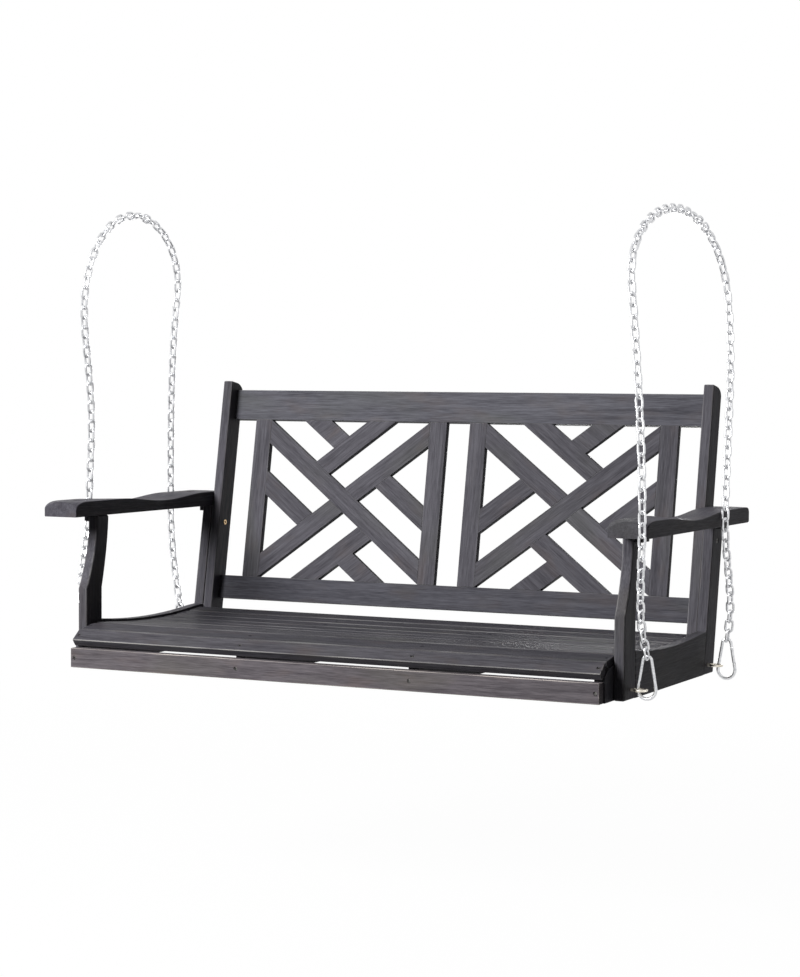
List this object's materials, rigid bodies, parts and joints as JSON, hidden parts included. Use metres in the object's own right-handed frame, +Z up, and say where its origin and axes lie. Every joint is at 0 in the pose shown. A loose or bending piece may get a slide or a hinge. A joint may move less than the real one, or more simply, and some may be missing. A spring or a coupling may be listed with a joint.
{
  "type": "porch swing seat",
  "caption": "Slatted hanging bench with a reclined lattice back, shaped armrests and a chain loop at each side.",
  "frame": {"origin": "middle of the swing axis, halfway between the two top links that carry the swing", "axes": "+X along the bench, to the right seen from the front; +Y from the front to the back; +Z up"},
  "size_m": [1.2968, 0.633, 0.9117],
  "materials": {
    "stained_wood": "dark charcoal stain with a satin sheen",
    "zinc": "bright zinc plating",
    "bolt_steel": "zinc plating, slightly warm",
    "screw_steel": "darkened steel",
    "brass": "plain brass"
  },
  "bodies": {
    "hangers": {"top_link_left": "zinc", "top_link_right": "zinc"},
    "seat": {"front_post_left": "stained_wood", "front_post_right": "stained_wood", "rear_post_left": "stained_wood", "rear_post_right": "stained_wood", "side_rail_left": "stained_wood", "side_rail_right": "stained_wood", "armrest_left": "stained_wood", "armrest_right": "stained_wood", "arm_cleats_left": "stained_wood", "arm_cleats_right": "stained_wood", "back_stile_left": "stained_wood", "back_stile_right": "stained_wood", "top_rail": "stained_wood", "lower_rail": "stained_wood", "muntin_left_outer": "stained_wood", "muntin_left_inner": "stained_wood", "muntin_right_inner": "stained_wood", "muntin_right_outer": "stained_wood", "lattice_diagonal_left": "stained_wood", "lattice_diagonal_right": "stained_wood", "lattice_halves_left": "stained_wood", "lattice_halves_right": "stained_wood", "lattice_braces_left": "stained_wood", "lattice_braces_right": "stained_wood", "end_bearer_left": "stained_wood", "end_bearer_right": "stained_wood", "middle_bearer_left": "stained_wood", "middle_bearer_right": "stained_wood", "front_rail": "stained_wood", "nose_slat": "stained_wood", "seat_slat_1": "stained_wood", "seat_slat_2": "stained_wood", "seat_slat_3": "stained_wood", "seat_slat_4": "stained_wood", "seat_slat_5": "stained_wood", "seat_slat_6": "stained_wood", "seat_slat_7": "stained_wood", "seat_slat_8": "stained_wood", "seat_slat_9": "stained_wood", "seat_screws": "screw_steel", "arm_screws": "screw_steel", "back_bolts": "bolt_steel", "barrel_nuts": "brass", "eye_bolts_left": "bolt_steel", "eye_bolts_right": "bolt_steel", "eye_nuts": "bolt_steel", "snap_hook_front_left": "zinc", "snap_hook_front_right": "zinc", "snap_hook_rear_left": "zinc", "snap_hook_rear_right": "zinc", "chain_front_left": "zinc", "chain_front_right": "zinc", "chain_rear_left": "zinc", "chain_rear_right": "zinc"},
    "gate_front_left": {"gate_front_left": "zinc"},
    "gate_front_right": {"gate_front_right": "zinc"},
    "gate_rear_left": {"gate_rear_left": "zinc"},
    "gate_rear_right": {"gate_rear_right": "zinc"}
  },
  "joints": [
    {"name": "swing", "type": "hinge", "parent": "hangers", "child": "seat", "pos_m": [0, 0, 0], "axis": [1, 0, 0], "range_deg": [-12, 12]},
    {"name": "gate_front_left_hinge", "type": "hinge", "parent": "seat", "child": "gate_front_left", "pos_m": [-0.5937, -0.25351, -0.8496], "axis": [-1, 0, 0], "range_deg": [0, 20], "stiffness_Nm_per_rad": 0.1, "springref_deg": -28.65},
    {"name": "gate_front_right_hinge", "type": "hinge", "parent": "seat", "child": "gate_front_right", "pos_m": [0.58979, -0.26, -0.8496], "axis": [0, 1, 0], "range_deg": [0, 20], "stiffness_Nm_per_rad": 0.1, "springref_deg": -28.65},
    {"name": "gate_rear_left_hinge", "type": "hinge", "parent": "seat", "child": "gate_rear_left", "pos_m": [-0.63161, 0.153, -0.8496], "axis": [0, 1, 0], "range_deg": [0, 20], "stiffness_Nm_per_rad": 0.1, "springref_deg": -28.65},
    {"name": "gate_rear_right_hinge", "type": "hinge", "parent": "seat", "child": "gate_rear_right", "pos_m": [0.63011, 0.153, -0.8586], "axis": [0, -1, 0], "range_deg": [0, 20], "stiffness_Nm_per_rad": 0.1, "springref_deg": -28.65}
  ]
}
